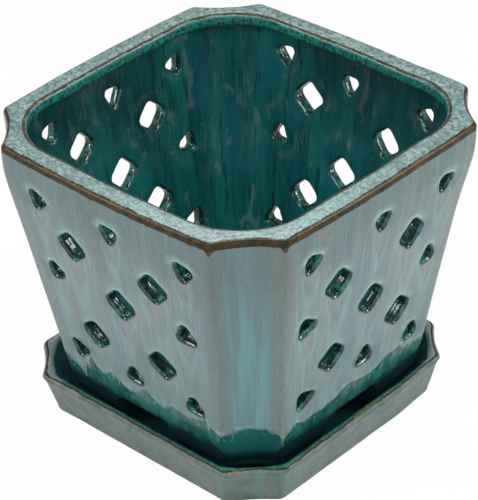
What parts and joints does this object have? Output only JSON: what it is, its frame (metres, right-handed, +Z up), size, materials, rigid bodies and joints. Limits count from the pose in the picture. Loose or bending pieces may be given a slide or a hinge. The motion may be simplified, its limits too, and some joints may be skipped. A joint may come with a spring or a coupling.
{
  "type": "orchid pot with saucer",
  "caption": "Square glazed ceramic orchid pot with cut corners, slotted walls and arched feet, standing loose in a matching saucer.",
  "frame": {"origin": "centre of the saucer's underside, on the table", "axes": "+Z up out of the pot's mouth, X and Y square to the pot's four slotted walls"},
  "size_m": [0.1788, 0.1788, 0.1544],
  "materials": {
    "pot_glaze": "glossy streaked blue-grey glaze over deep green",
    "saucer_glaze": "glossy mottled grey-green glaze"
  },
  "bodies": {
    "saucer": {"saucer": "saucer_glaze"},
    "pot": {"pot": "pot_glaze"}
  },
  "joints": [
    {"name": "pot_lift", "type": "slide", "parent": "saucer", "child": "pot", "axis": [0, 0, 1], "range_m": [0, 0.16]}
  ]
}
